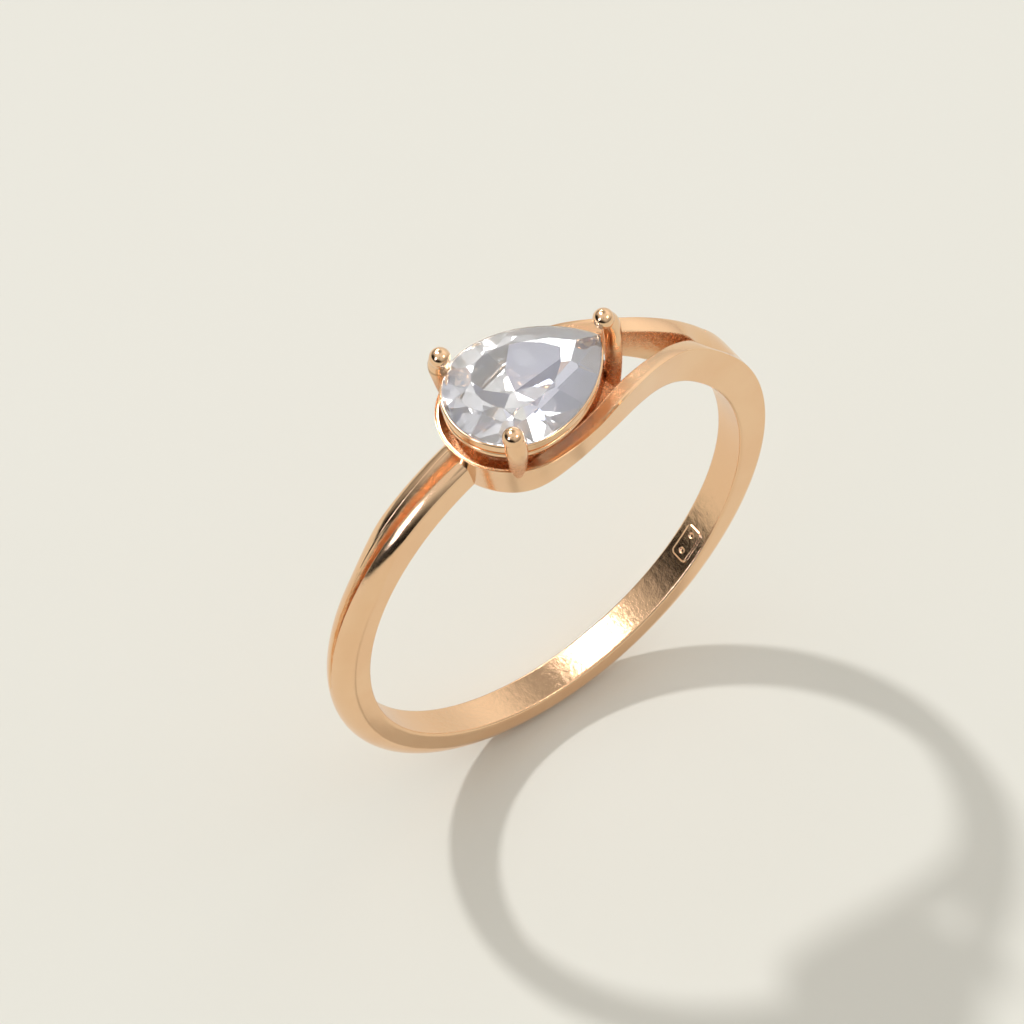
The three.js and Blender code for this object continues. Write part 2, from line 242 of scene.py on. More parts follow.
def settle(piece: bpy.types.Object, material: bpy.types.Material, slot: str, *nodes: str) -> None:
    """Gives a finished piece its material and ties it to the CAD frame.

    Args:
        piece: the finished object.
        material: its finish.
        slot: the record's material slot; not used.
        *nodes: the CAD nodes that the piece stands for.
    """
    piece.data.materials.clear()
    piece.data.materials.append(material)
    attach(piece, "root")
    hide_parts(*nodes)
    low = [round(min(v.co[i] for v in piece.data.vertices) / MM, 2) for i in range(3)]
    high = [round(max(v.co[i] for v in piece.data.vertices) / MM, 2) for i in range(3)]
    LOG.info("%s: %d faces, %s to %s mm", piece.name, len(piece.data.polygons), low, high)


# ---- Finishes -----------------------------------------------------------------------------------


@dataclass(frozen=True)
class RoseGold:
    """Rose gold alloy, lost-wax cast and then polished where a wheel can reach."""

    polished: str = "f4cda5"
    # Colour of the casting skin, darkened in part as painted shade for the hollows and inner walls that the
    # skin covers.
    cast_skin_and_shade: str = "e3a678"
    polish_roughness: float = 0.13
    cast_roughness: float = 0.28
    buff_mm: float = 1.6  # size of the soft unevenness that a polishing wheel leaves
    hairline_mm: float = 0.09  # wear marks, drawn a little coarser than real ones so they show
    grain_mm: float = 0.13  # skin of the casting investment
    buff_range: tuple = (0.35, 0.65)  # the part of each noise that shows
    hair_range: tuple = (0.3, 0.75)
    grain_range: tuple = (0.3, 0.7)
    buff_tone: float = 0.16  # how far the waves lean to the cast colour
    polish_spread: tuple = (-0.03, 0.07)  # added roughness, between hairlines and on them
    cast_spread: tuple = (-0.1, 0.12)
    buff_strength: float = 0.05
    buff_height_mm: float = 0.3
    grain_strength: float = 0.85
    grain_height_mm: float = 0.09
    pit_size: float = 2.2  # of a pit, in grains
    pit_share: float = 0.6  # of a pit's depth, against the grain's

    def build(self) -> bpy.types.Material:
        """Gives warm mirror-like metal with faint buffing waves, and a grainy skin where cast.

        Returns:
            The material.
        """
        material = bpy.data.materials.new("rose_gold_polished_casting")
        material.use_nodes = True
        tree = material.node_tree
        tree.nodes.clear()
        place = add_node(tree, "ShaderNodeTexCoord").outputs["Object"]
        cast_skin_and_shade = add_node(
            tree, "ShaderNodeAttribute", {"attribute_name": "cast_skin_and_shade", "attribute_type": "GEOMETRY"}
        ).outputs["Fac"]
        waves = add_node(
            tree, "ShaderNodeTexNoise", Vector=place, Scale=1 / (self.buff_mm * MM), Detail=2.0
        ).outputs["Fac"]
        hairs = add_node(
            tree, "ShaderNodeTexNoise", Vector=place, Scale=1 / (self.hairline_mm * MM), Detail=3.0
        ).outputs["Fac"]
        grain = add_node(
            tree,
            "ShaderNodeTexNoise",
            Vector=place,
            Scale=1 / (self.grain_mm * MM),
            Detail=5.0,
            Roughness=0.7,
        ).outputs["Fac"]
        pits = add_node(
            tree, "ShaderNodeTexVoronoi", Vector=place, Scale=1 / (self.pit_size * self.grain_mm * MM)
        ).outputs["Distance"]
        # Colour: darker and more orange where the casting skin is, partly the skin's own tone and partly
        # painted shade in the hollows and inner walls; a little uneven everywhere.
        uneven = add_node(
            tree,
            "ShaderNodeMapRange",
            Value=waves,
            From_Min=self.buff_range[0],
            From_Max=self.buff_range[1],
            To_Min=0.0,
            To_Max=self.buff_tone,
        ).outputs["Result"]
        toned = add_node(tree, "ShaderNodeMath", {"operation": "MAXIMUM"}, i0=uneven, i1=cast_skin_and_shade).outputs[0]
        colour = add_node(
            tree,
            "ShaderNodeMix",
            {"data_type": "RGBA"},
            i0=toned,
            i6=srgb(self.polished),
            i7=srgb(self.cast_skin_and_shade),
        ).outputs[2]
        # Roughness: mirror with faint hairlines, matt in the casting skin.
        polish = add_node(
            tree,
            "ShaderNodeMapRange",
            Value=hairs,
            From_Min=self.hair_range[0],
            From_Max=self.hair_range[1],
            To_Min=self.polish_roughness + self.polish_spread[0],
            To_Max=self.polish_roughness + self.polish_spread[1],
        ).outputs["Result"]
        skin = add_node(
            tree,
            "ShaderNodeMapRange",
            Value=grain,
            From_Min=self.grain_range[0],
            From_Max=self.grain_range[1],
            To_Min=self.cast_roughness + self.cast_spread[0],
            To_Max=self.cast_roughness + self.cast_spread[1],
        ).outputs["Result"]
        rough = add_node(
            tree, "ShaderNodeMix", {"data_type": "FLOAT"}, i0=cast_skin_and_shade, i2=polish, i3=skin
        ).outputs[0]
        relief = add_node(
            tree, "ShaderNodeMath", {"operation": "MULTIPLY_ADD"}, i0=pits, i1=self.pit_share, i2=grain
        )
        depth = add_node(tree, "ShaderNodeMath", {"operation": "MULTIPLY"}, i0=relief.outputs[0], i1=cast_skin_and_shade)
        soft = add_node(
            tree,
            "ShaderNodeBump",
            Height=waves,
            Strength=self.buff_strength,
            Distance=self.buff_height_mm * MM,
        ).outputs["Normal"]
        bump = add_node(
            tree,
            "ShaderNodeBump",
            Height=depth.outputs[0],
            Strength=self.grain_strength,
            Distance=self.grain_height_mm * MM,
            Normal=soft,
        ).outputs["Normal"]
        shader = add_node(
            tree,
            "ShaderNodeBsdfPrincipled",
            Metallic=1.0,
            Base_Color=colour,
            Roughness=rough,
            Normal=bump,
        )
        add_node(tree, "ShaderNodeOutputMaterial", Surface=shader.outputs[0])
        return material


@dataclass(frozen=True)
class ClearGem:
    """Colourless gem of high refraction, cut and polished on a lap."""

    body: str = "fefefe"
    painted_violet_fire: str = "c9cfff"  # painted fire: the colour of facets where the spread of colours leans to violet
    # painted fire: the colour of facets where the spread of colours leans to peach
    painted_peach_fire: str = "ffe3d2"
    index: float = 2.4
    clearness: float = 0.83  # the rest is a white body that stands in for fine sparkle
    lap_mm: float = 0.5  # the faint cloudiness that cutting leaves, here and there
    haze_range: tuple = (0.45, 0.8)
    haze_roughness: float = 0.02
    cool_range: tuple = (0.72, 0.9)  # of a facet's share of painted fire, from none to full
    warm_range: tuple = (0.26, 0.08)

    def build(self) -> bpy.types.Material:
        """Gives bright, sharp facets with violet and peach fire painted into their colour, and a whisper of
        lap haze.

        Returns:
            The material.
        """
        material = bpy.data.materials.new("clear_gem_faceted")
        material.use_nodes = True
        tree = material.node_tree
        tree.nodes.clear()
        place = add_node(tree, "ShaderNodeTexCoord").outputs["Object"]
        haze = add_node(
            tree, "ShaderNodeTexNoise", Vector=place, Scale=1 / (self.lap_mm * MM)
        ).outputs["Fac"]
        rough = add_node(
            tree,
            "ShaderNodeMapRange",
            Value=haze,
            From_Min=self.haze_range[0],
            From_Max=self.haze_range[1],
            To_Min=0.0,
            To_Max=self.haze_roughness,
        ).outputs["Result"]
        painted_fire_share = add_node(
            tree, "ShaderNodeAttribute", {"attribute_name": "painted_fire_share", "attribute_type": "GEOMETRY"}
        ).outputs["Fac"]
        cool, warm = (
            add_node(
                tree, "ShaderNodeMapRange", Value=painted_fire_share, From_Min=none, From_Max=full, To_Min=0.0, To_Max=1.0
            ).outputs["Result"]
            for none, full in (self.cool_range, self.warm_range)
        )
        cooled = add_node(
            tree,
            "ShaderNodeMix",
            {"data_type": "RGBA"},
            i0=cool,
            i6=srgb(self.body),
            i7=srgb(self.painted_violet_fire),
        ).outputs[2]
        colour = add_node(
            tree,
            "ShaderNodeMix",
            {"data_type": "RGBA"},
            i0=warm,
            i6=cooled,
            i7=srgb(self.painted_peach_fire),
        ).outputs[2]
        shader = add_node(
            tree,
            "ShaderNodeBsdfPrincipled",
            Base_Color=colour,
            Roughness=rough,
            IOR=self.index,
            Transmission_Weight=self.clearness,
        )
        add_node(tree, "ShaderNodeOutputMaterial", Surface=shader.outputs[0])
        return material


@dataclass(frozen=True)
class PaleTable:
    """Smooth matt board under the ring."""

    colour: str = "ecebe4"
    shade: str = "e7e5db"
    roughness: float = 0.75
    mottle_mm: float = 60.0

    def build(self) -> bpy.types.Material:
        """Gives a plain cream surface with the slightest mottling.

        Returns:
            The material.
        """
        material = bpy.data.materials.new("pale_table")
        material.use_nodes = True
        tree = material.node_tree
        tree.nodes.clear()
        place = add_node(tree, "ShaderNodeTexCoord").outputs["Object"]
        mottle = add_node(
            tree, "ShaderNodeTexNoise", Vector=place, Scale=1 / (self.mottle_mm * MM), Detail=3.0
        ).outputs["Fac"]
        colour = add_node(
            tree,
            "ShaderNodeMix",
            {"data_type": "RGBA"},
            i0=mottle,
            i6=srgb(self.colour),
            i7=srgb(self.shade),
        ).outputs[2]
        shader = add_node(
            tree, "ShaderNodeBsdfPrincipled", Base_Color=colour, Roughness=self.roughness
        )
        add_node(tree, "ShaderNodeOutputMaterial", Surface=shader.outputs[0])
        return material


# ---- Swept pieces in Geometry Nodes -------------------------------------------------------------


def sweep_tree() -> bpy.types.NodeTree:
    """Builds the tree that runs a section along a path.

    The host mesh holds two strands of edges: the path, and the section where "is_section" is 1.
    The path's "girth" scales the section along its way.

    Returns:
        The tree, with the inputs Girth and Material.
    """
    tree = bpy.data.node_groups.new("section_along_path", "GeometryNodeTree")
    tree.interface.new_socket("Geometry", in_out="INPUT", socket_type="NodeSocketGeometry")
    tree.interface.new_socket("Girth", in_out="INPUT", socket_type="NodeSocketFloat")
    tree.interface.new_socket("Material", in_out="INPUT", socket_type="NodeSocketMaterial")
    tree.interface.new_socket("Geometry", in_out="OUTPUT", socket_type="NodeSocketGeometry")
    host = add_node(tree, "NodeGroupInput")
    flag = add_node(
        tree, "GeometryNodeInputNamedAttribute", {"data_type": "FLOAT"}, Name="is_section"
    ).outputs[0]
    parts = add_node(
        tree, "GeometryNodeSeparateGeometry", {"domain": "POINT"}, Geometry=host.outputs["Geometry"]
    )
    chosen = add_node(tree, "FunctionNodeCompare", {"data_type": "FLOAT"}, i0=flag, i1=0.5)
    tree.links.new(chosen.outputs[0], parts.inputs["Selection"])
    path = add_node(tree, "GeometryNodeMeshToCurve", Mesh=parts.outputs["Inverted"]).outputs[0]
    section = add_node(tree, "GeometryNodeMeshToCurve", Mesh=parts.outputs["Selection"]).outputs[0]
    girth = add_node(
        tree, "GeometryNodeInputNamedAttribute", {"data_type": "FLOAT"}, Name="girth"
    ).outputs[0]
    scaled = add_node(
        tree, "ShaderNodeMath", {"operation": "MULTIPLY"}, i0=girth, i1=host.outputs["Girth"]
    ).outputs[0]
    upright = add_node(tree, "GeometryNodeSetCurveNormal", {"mode": "Z_UP"}, Curve=path).outputs[0]
    swept = add_node(
        tree,
        "GeometryNodeCurveToMesh",
        Curve=upright,
        Profile_Curve=section,
        Scale=scaled,
        Fill_Caps=True,
    ).outputs[0]
    merged = add_node(tree, "GeometryNodeMergeByDistance", Geometry=swept, Distance=MERGE_WITHIN).outputs[0]
    real = add_node(tree, "GeometryNodeRealizeInstances", Geometry=merged).outputs[0]
    done = add_node(
        tree, "GeometryNodeSetMaterial", Geometry=real, Material=host.outputs["Material"]
    ).outputs[0]
    add_node(tree, "NodeGroupOutput", Geometry=done)
    return tree


def baked(
    host: bpy.types.Object, tree: bpy.types.NodeTree, values: dict[str, object], crease: float
) -> bpy.types.Object:
    """Runs a tree on a host object and keeps the plain mesh it makes.

    Args:
        host: the object that holds the tree's guide geometry. Its mesh is replaced.
        tree: the Geometry Nodes tree.
        values: a value for each of the tree's named inputs.
        crease: edges sharper than this many degrees stay sharp.

    Returns:
        The host, now with the finished mesh and no modifier.
    """
    modifier = host.modifiers.new(tree.name, "NODES")
    modifier.node_group = tree
    for item in tree.interface.items_tree:
        if item.in_out == "INPUT" and item.name in values:
            modifier[item.identifier] = values[item.name]
    bpy.context.view_layer.update()
    evaluated = host.evaluated_get(bpy.context.evaluated_depsgraph_get())
    mesh = bpy.data.meshes.new_from_object(evaluated)
    host.modifiers.clear()
    strands = host.data
    host.data = mesh
    bpy.data.meshes.remove(strands)
    mesh.name = host.name
    face_out(mesh, crease)
    return host


def guide(
    name: str, path: np.ndarray, section: np.ndarray, girth: np.ndarray, closed: bool
) -> bpy.types.Object:
    """Makes the host of a sweep: its path and its section as two strands of edges.

    Args:
        name: the piece's name.
        path: points of the path, in millimetres.
        section: points of the closed section in its own plane, in millimetres.
        girth: how much the section is scaled at each point of the path.
        closed: True where the path comes back to its start.

    Returns:
        The host object.
    """
    n, m = len(path), len(section)
    edges = [(i, i + 1) for i in range(n - 1)] + ([(n - 1, 0)] if closed else [])
    edges += [(n + i, n + (i + 1) % m) for i in range(m)]
    mesh = bpy.data.meshes.new(name)
    mesh.from_pydata((np.vstack([path, section]) * MM).tolist(), edges, [])
    host = bpy.data.objects.new(name, mesh)
    bpy.context.scene.collection.objects.link(host)
    point_attribute(host, "is_section", np.r_[np.zeros(n), np.ones(m)])
    point_attribute(host, "girth", np.r_[girth, np.ones(m)])
    return host


# ---- Ring ---------------------------------------------------------------------------------------


@dataclass
class RingSizes:
    """Sizes that the sub-assemblies share."""

    bore: float = 8.65
    width: float = 1.42
    left_end: float = 113.6  # degrees from +X, where the strands meet the basket
    right_joint: float = 38.0
    shoulder_side: float = 1.47  # height of the side face at the right joint
    shoulder_half: float = 0.76
    valley: float = 0.3  # depth of the V between the arms at the right joint
    centre: float = -1.59  # x of the middle of the stone's round end
    rim: float = 9.7  # height of the basket's rim

    def over_bore(self, x: float, y: float) -> np.ndarray:
        """The point of the finger hole's wall above x, y."""
        return np.array([x, y, math.sqrt(self.bore**2 - x**2)])


@dataclass
class Shank:
    """The band, with the groove that parts its strands and the pressed cartouche."""

    sizes: RingSizes
    crown: float = 1.36
    side: float = 0.68
    strand_side: float = 1.15
    bore_ease: float = 0.11
    groove_start: float = 184.0
    groove_depth: float = 0.4
    groove_half: float = 0.36
    mark_angle: float = -38.9
    mark_length: float = 1.45
    mark_width: float = 0.82
    mark_depth: float = 0.05
    mark_corner: float = 0.2
    dot_radius: float = 0.13
    mark_edge: float = 0.07  # how softly the cartouche's wall falls
    dot_share: float = 0.9  # of the depth, how far a dot stands up again
    strand_turns: tuple = (207.0, 226.0)  # degrees back from +X between which the strands' sides grow
    strand_rise: float = 0.05
    side_from: float = -45.0  # degrees from +X, where the right shoulder's side starts to grow
    crown_from: float = 0.0
    wide_from: float = 14.0
    valley_from: float = 24.0
    hairline: float = 0.07  # half width of the groove where it begins
    groove_spread: float = 1.6
    groove_power: float = 1.3
    valley_power: float = 1.5
    flat_half: float = 0.48
    flat_points: int = 33
    dome_tilt: float = 78.0  # degrees, slope of the crown where it meets the side
    dome_spread: float = 1.25
    dome_points: int = 97
    side_hold: float = 0.05  # from the side's upper edge to its support point
    stations: int = 380
    mark_span: float = 5.4  # degrees either side of the cartouche with closer stations
    mark_stations: int = 90
    satin_cast: float = 0.14
    # casting skin in the groove, whose darker colour is partly painted shade in the crease
    hollow_skin_and_shade: float = 0.5

    def mark(self, angle: float, across: float) -> float:
        """How deep the bore is pressed at a place: a rounded recess with two dots left standing.

        Args:
            angle: degrees from +X.
            across: distance from the middle of the band.

        Returns:
            The depth.
        """
        along = math.radians(angle - self.mark_angle) * self.sizes.bore
        over = np.array([abs(along) - self.mark_length / 2, abs(across) - self.mark_width / 2])
        over += self.mark_corner
        outside = float(np.linalg.norm(np.clip(over, 0, None))) - self.mark_corner
        depth = self.mark_depth * (1 - smoothstep(outside, -self.mark_edge, 0.0))
        dot = math.hypot(abs(along) - self.mark_length / 4, across)
        standing = 1 - smoothstep(dot, 0.5 * self.dot_radius, self.dot_radius)
        return depth - self.dot_share * self.mark_depth * standing

    def heights(self, angle: float) -> tuple[float, float, float]:
        """The band's outline sizes at an angle.

        Args:
            angle: degrees from +X, from the right joint down to -246.

        Returns:
            Side height, crown height and half width.
        """
        strand = smoothstep(-angle, *self.strand_turns)
        shoulder = smoothstep(angle, self.side_from, self.sizes.right_joint)
        side = lerp(self.side, self.strand_side, strand)
        side = lerp(side, self.sizes.shoulder_side, shoulder)
        crown = lerp(self.crown, self.crown + self.strand_rise, strand)
        risen = smoothstep(angle, self.crown_from, self.sizes.right_joint)
        crown = lerp(crown, self.sizes.shoulder_side, risen)
        wide = smoothstep(angle, self.wide_from, self.sizes.right_joint)
        return side, crown, lerp(self.sizes.width / 2, self.sizes.shoulder_half, wide)

    def cut(self, angle: float, reach: float, half: float) -> float:
        """How deep the groove or the valley goes.

        Args:
            angle: degrees from +X.
            reach: distance from the middle of the band.
            half: half the band's width there.

        Returns:
            The depth below the crown.
        """
        span = self.groove_start - self.sizes.left_end
        opened = min(max((self.groove_start - 360 - angle) / span, 0.0), 1.0)
        wide = lerp(self.hairline, self.groove_half, opened**self.groove_spread)
        depth = self.groove_depth * smoothstep(opened, -0.1, 0.4)
        depth *= smoothstep(opened, 0.0, 0.05)
        groove = depth * max(0.0, 1 - reach / wide) ** self.groove_power
        valley = self.sizes.valley * smoothstep(angle, self.valley_from, self.sizes.right_joint)
        return groove + valley * (1 - min(reach / half, 1.0)) ** self.valley_power

    def section(self, angle: float) -> np.ndarray:
        """The closed outline at an angle.

        Args:
            angle: degrees from +X.

        Returns:
            Points of the ring, one row each.
        """
        side, crown, half = self.heights(angle)
        corners = [
            eased_corner(
                np.array([sign * half, side]),
                np.array([sign * half, 0.0]),
                np.array([0.0, 0.0]),
                self.bore_ease,
                7,
            )
            for sign in (-1, 1)
        ]
        flat = (
            np.array([across, -self.mark(angle, across)])
            for across in np.linspace(-self.flat_half, self.flat_half, self.flat_points)
        )
        outline = [*corners[0], *flat, *corners[1][::-1]]
        outline.append(np.array([half, side - self.side_hold]))
        tilt = math.radians(self.dome_tilt)
        for t in np.linspace(1, -1, self.dome_points):
            turn = tilt * math.copysign(abs(t) ** self.dome_spread, t)
            across = math.sin(turn) / math.sin(tilt)
            rise = (math.cos(turn) - math.cos(tilt)) / (1 - math.cos(tilt))
            up = side + (crown - side) * rise - self.cut(angle, abs(across) * half, half)
            outline.append(np.array([across * half, up]))
        outline.append(np.array([-half, side - self.side_hold]))
        return np.array([on_ring(self.sizes.bore + up, angle, across) for across, up in outline])

    def build(self) -> bpy.types.Object:
        """Lofts the band from the right joint, under the finger, up to the basket.

        Returns:
            The piece.
        """
        end = self.sizes.left_end - 360
        first, last = self.mark_angle - self.mark_span, self.mark_angle + self.mark_span
        pressed = np.linspace(first, last, self.mark_stations)
        even = np.linspace(self.sizes.right_joint, end, self.stations)
        clear = even[np.abs(even - self.mark_angle) > self.mark_span + 0.1]
        angles = np.sort(np.r_[clear, pressed])[::-1]
        points, faces = loft(np.array([self.section(a) for a in angles]))
        return mesh_piece("shank_band", points, faces, crease=50)

    def dress(self, piece: bpy.types.Object, gold: bpy.types.Material) -> None:
        """Polishes the outside, and leaves the bore satin.

        Args:
            piece: the finished mesh.
            gold: the metal.
        """
        places = np.array([v.co for v in piece.data.vertices]) / MM
        over_bore = np.hypot(places[:, 0], places[:, 2]) - self.sizes.bore
        satin = [self.satin_cast * (1 - smoothstep(up, 0.0, 0.05)) for up in over_bore]
        turns = np.degrees(np.arctan2(places[:, 2], places[:, 0]))
        turns = np.where(turns > 60, turns - 360, turns)
        # Painted shade in part: the groove takes the darker cast colour along with its casting skin.
        hollow = [
            smoothstep(self.cut(turn, abs(y), 1.0), 0.06, 0.2) if turn < -100 and up > 0.5 else 0.0
            for turn, y, up in zip(turns, places[:, 1], over_bore)
        ]
        point_attribute(piece, "cast_skin_and_shade", np.maximum(satin, self.hollow_skin_and_shade * np.array(hollow)))
        settle(piece, gold, "rose_gold", "shank")


class Side(Enum):
    """The side of the ring that an arm or a claw stands on."""

    FRONT = -1
    BACK = 1


@dataclass
class Arm:
    """One arm: half of the basket's wall, then the strand that runs to the right shoulder."""

    sizes: RingSizes
    side: Side
    run: tuple  # rows of x, y and height of the upper edge, width, fall, power and pocket
    wall_out: float = 2.73
    wall_foot: tuple = (2.27, 2.27, 2.28, 2.33, 2.42, 2.54, 2.64, 2.69)
    wall_width: float = 0.78
    pocket_fall: float = 1.0
    wall_step: float = 12.0  # degrees from one row of the wall to the next
    end_fall: float = 0.3
    toe_in: float = 0.1  # how far the inner wall's foot stands inside its top
    pocket_rows: tuple = (4.6, 7.5)  # rows of the wall between which the pocket fades out
    near_turn: float = 4.5  # degrees from the right joint to the row that holds the arm's line
    crest_cast: float = 0.45  # how much of the casting skin the polisher leaves on top
    crest_points: int = 22
    corner_points: tuple = (8, 7, 8, 8)  # of the section's four rounded corners, in order
    polished_points: int = 5  # of the crest, over which the skin comes in from the outer edge
    polished_from: tuple = (0.55, 0.8)  # share of the arm's length where the hollow's skin ends
    stations: int = 260

    def key_rows(self) -> np.ndarray:
        """Gathers the arm's key rows, from the basket's left wall to the right joint.

        Returns:
            Rows of outer top, outer foot, inner top, inner foot, fall, power and pocket.
        """
        s, rows = self.sizes, []
        middle = np.array([s.centre, 0.0])
        for i, foot in enumerate(self.wall_foot):
            a = math.radians(180 - self.wall_step * i)
            out = np.array([math.cos(a), math.sin(a)])
            reaches = (self.wall_out, foot, self.wall_out - self.wall_width)
            top, foot_at, inner = (middle + out * reach for reach in reaches)
            toe = middle + out * (self.wall_out - self.wall_width - self.toe_in)
            pocket = 1 - smoothstep(i, *self.pocket_rows)
            fall = lerp(self.end_fall, self.pocket_fall, pocket)
            rows.append(
                np.r_[
                    top, s.rim, s.over_bore(*foot_at), inner, s.rim - fall, s.over_bore(*toe),
                    fall, 1.0, pocket,
                ]
            )
        for x, y, z, width, fall, power, foot_x in self.run:
            rows.append(
                np.r_[
                    x, y, z, s.over_bore(foot_x, y), x + 0.06, y - width, z - fall,
                    s.over_bore(foot_x, y - width), fall, power, 0.0,
                ]
            )
        side, half = s.bore + s.shoulder_side, s.shoulder_half
        near = s.right_joint + self.near_turn
        rows.append(
            np.r_[
                on_ring(side + 0.03, near, half + 0.02), on_ring(s.bore, near, half + 0.02),
                on_ring(side - s.valley - 0.06, near, 0.03), on_ring(s.bore, near, 0.03),
                s.valley + 0.08, 1.6, 0.0,
            ]
        )
        rows.append(
            np.r_[
                on_ring(side, s.right_joint, half), on_ring(s.bore, s.right_joint, half),
                on_ring(side - s.valley, s.right_joint, 0.0), on_ring(s.bore, s.right_joint, 0.0),
                s.valley, 1.5, 0.0,
            ]
        )
        return np.array(rows)

    def section(self, row: np.ndarray) -> list[np.ndarray]:
        """The closed outline for one row, with y counted positive on the arm's own side.

        Args:
            row: one row of the same kind as key_rows gives.

        Returns:
            Points of the outline, in order.
        """
        top, foot, inner, toe = (row[i : i + 3] for i in (0, 3, 6, 9))
        fall, power, pocket = row[12:15]
        up = (top - foot) / np.linalg.norm(top - foot)
        crest = []
        for t in np.linspace(0.13, 0.85, self.crest_points):
            slope = lerp(t**power, smoothstep(t, 0.26, 0.52), pocket)
            crest.append(lerp(top, inner, t) + up * (t - slope) * fall)
        return [
            *eased_corner(toe, foot, top, 0.1, 6),
            *eased_corner(foot, top, crest[0], 0.04, 5),
            *crest,
            *eased_corner(crest[-1], inner, toe, 0.07, 6),
            *eased_corner(inner, toe, foot, 0.07, 6),
        ]

    def build(self) -> bpy.types.Object:
        """Lofts the arm from the middle of the basket's left wall to the right shoulder.

        Returns:
            The piece.
        """
        rows = through_rows(self.key_rows(), self.stations)
        rings = np.array([self.section(row) for row in rows])
        rings[:, :, 1] *= self.side.value
        points, faces = loft(rings)
        return mesh_piece(self.side.name.lower() + "_arm_strand", points, faces, crease=50)

    def dress(self, piece: bpy.types.Object, gold: bpy.types.Material) -> None:
        """Polishes the outside and leaves the hollow and the inner wall as cast, with the cast colour there
        partly painted shade.

        Args:
            piece: the finished mesh.
            gold: the metal.
        """
        around = len(piece.data.vertices) // self.stations
        rough = np.zeros(around)
        outside = sum(self.corner_points[:2])
        shaded = outside + self.polished_points
        rough[shaded:] = 1.0
        rough[outside:shaded] = np.linspace(0, 1, self.polished_points)
        rough[outside : outside + self.crest_points] *= self.crest_cast
        bottom = self.corner_points[-1]
        rough[-bottom:] = np.linspace(1, 0, bottom)
        along = np.linspace(0, 1, self.stations)
        fade = np.array([1 - smoothstep(s, *self.polished_from) for s in along])
        mask = fade[:, None] * rough[None, :]
        wall = outside + self.crest_points + 2
        inner_fade = np.array([1 - smoothstep(s, 0.9, 1.0) for s in along])
        # The inner wall takes the full cast colour, partly painted shade.
        mask[:, wall:-bottom] = inner_fade[:, None]
        point_attribute(piece, "cast_skin_and_shade", mask.reshape(-1))
        settle(piece, gold, "rose_gold", self.side.name.lower() + "_arm")


FRONT_RUN = (
    (-0.6, 2.68, 9.68, 0.78, 0.26, 1.0, -0.6),
    (0.65, 2.45, 9.62, 0.78, 0.2, 1.0, 0.65),
    (1.8, 2.12, 9.62, 0.76, 0.1, 1.0, 1.8),
    (3.06, 1.67, 9.4, 0.7, 0.12, 1.2, 3.0),
    (4.33, 1.24, 9.02, 0.66, 0.2, 1.5, 4.15),
    (5.44, 0.98, 8.58, 0.66, 0.22, 1.7, 5.0),
    (6.5, 0.84, 7.86, 0.7, 0.24, 1.8, 5.72),
)
BACK_RUN = (
    (-0.5, 2.82, 9.68, 0.78, 0.26, 1.0, -0.5),
    (0.7, 2.68, 9.6, 0.8, 0.22, 1.0, 0.7),
    (2.4, 2.28, 9.46, 0.82, 0.14, 1.0, 2.4),
    (3.4, 1.94, 9.26, 0.82, 0.12, 1.2, 3.35),
    (4.4, 1.56, 8.96, 0.78, 0.16, 1.5, 4.2),
    (5.5, 1.18, 8.5, 0.76, 0.2, 1.7, 5.05),
    (6.5, 0.9, 7.85, 0.76, 0.24, 1.8, 5.72),
)


def pear_outline(left: float, tip: float, width: float, count: int) -> np.ndarray:
    """The plan of a pear: a half circle on the left and two arcs that meet at the tip.

    Args:
        left: x of the round end.
        tip: x of the pointed end.
        width: the full width.
        count: how many points.

    Returns:
        Points and outward normals, one row each, evenly spaced from the tip anticlockwise.
    """
    r = width / 2
    centre = left + r
    reach = tip - centre
    arc = (reach**2 + r**2) / width
    turn = math.asin(reach / arc)
    side, half = arc * turn, math.pi * r
    rows = []
    for d in np.arange(count) / count * (2 * side + half):
        if d < side:
            a = turn - d / arc
            along, out = math.sin(a), math.cos(a)
            rows.append([centre + arc * along, r - arc + arc * out, along, out])
        elif d < side + half:
            a = math.pi / 2 + (d - side) / r
            rows.append([centre + r * math.cos(a), r * math.sin(a), math.cos(a), math.sin(a)])
        else:
            a = (d - side - half) / arc
            along, out = math.sin(a), math.cos(a)
            rows.append([centre + arc * along, arc - r - arc * out, along, -out])
    return np.array(rows)


